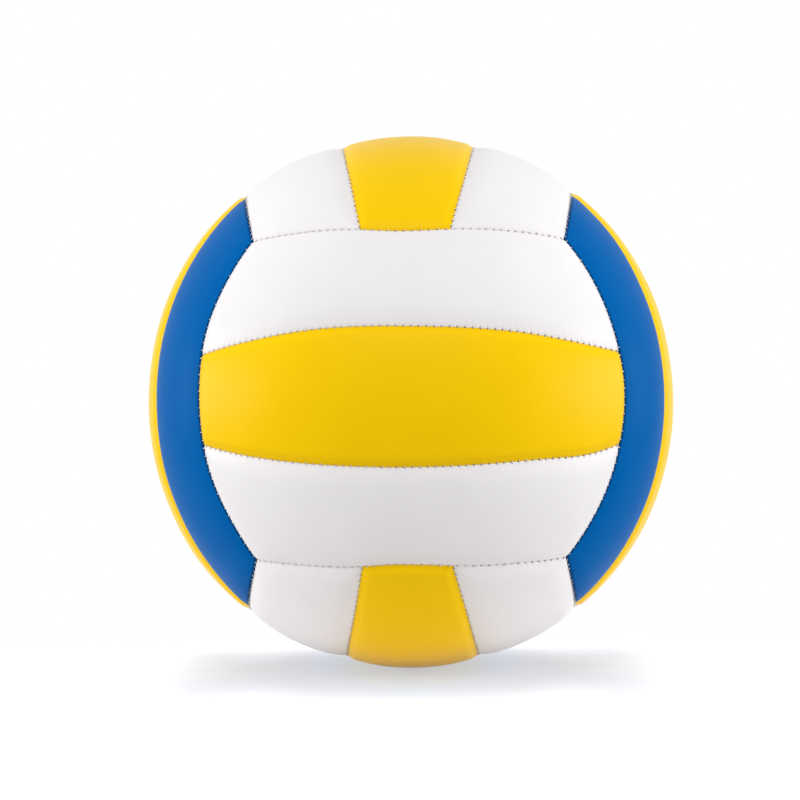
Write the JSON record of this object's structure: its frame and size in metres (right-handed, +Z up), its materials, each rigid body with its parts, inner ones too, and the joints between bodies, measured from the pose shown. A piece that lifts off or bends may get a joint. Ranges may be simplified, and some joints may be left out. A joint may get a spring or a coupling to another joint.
{
  "type": "volleyball",
  "caption": "Inflated volleyball of sewn, padded strip panels in white, yellow and blue, over a lined rubber bladder with a needle valve at the back.",
  "frame": {"origin": "centre of the ball", "axes": "+Z up, -Y towards the pictured front, +Y out of the valve, +X to the right as the front is seen"},
  "size_m": [0.21, 0.2097, 0.21],
  "materials": {
    "white_skin": "satin synthetic leather with a fine grain",
    "yellow_skin": "satin synthetic leather with a fine grain",
    "blue_skin": "satin synthetic leather with a fine grain",
    "foam": "closed-cell foam, matt",
    "lining": "plain woven cotton and polyester cloth",
    "thread": "bonded polyester sewing thread",
    "bladder": "butyl rubber, matt",
    "valve_rubber": "moulded rubber, matt",
    "valve_core": "moulded rubber, smooth"
  },
  "bodies": {
    "root": {"front_lower_skin": "white_skin", "front_middle_skin": "yellow_skin", "front_upper_skin": "white_skin", "back_lower_skin": "white_skin", "back_middle_skin": "yellow_skin", "back_upper_skin": "white_skin", "top_right_skin": "white_skin", "top_middle_skin": "yellow_skin", "top_left_skin": "white_skin", "bottom_left_skin": "white_skin", "bottom_middle_skin": "yellow_skin", "bottom_right_skin": "white_skin", "right_back_skin": "blue_skin", "right_middle_skin": "yellow_skin", "right_front_skin": "blue_skin", "left_front_skin": "blue_skin", "left_middle_skin": "yellow_skin", "left_back_skin": "blue_skin", "front_lower_foam": "foam", "front_middle_foam": "foam", "front_upper_foam": "foam", "back_lower_foam": "foam", "back_middle_foam": "foam", "back_upper_foam": "foam", "top_right_foam": "foam", "top_middle_foam": "foam", "top_left_foam": "foam", "bottom_left_foam": "foam", "bottom_middle_foam": "foam", "bottom_right_foam": "foam", "right_back_foam": "foam", "right_middle_foam": "foam", "right_front_foam": "foam", "left_front_foam": "foam", "left_middle_foam": "foam", "left_back_foam": "foam", "front_lower_lining": "lining", "front_middle_lining": "lining", "front_upper_lining": "lining", "back_lower_lining": "lining", "back_middle_lining": "lining", "back_upper_lining": "lining", "top_right_lining": "lining", "top_middle_lining": "lining", "top_left_lining": "lining", "bottom_left_lining": "lining", "bottom_middle_lining": "lining", "bottom_right_lining": "lining", "right_back_lining": "lining", "right_middle_lining": "lining", "right_front_lining": "lining", "left_front_lining": "lining", "left_middle_lining": "lining", "left_back_lining": "lining", "strip_seam_thread": "thread", "edge_seam_thread": "thread", "bladder": "bladder", "valve_body": "valve_rubber", "valve_core": "valve_core", "valve_patch": "valve_rubber"}
  },
  "joints": []
}
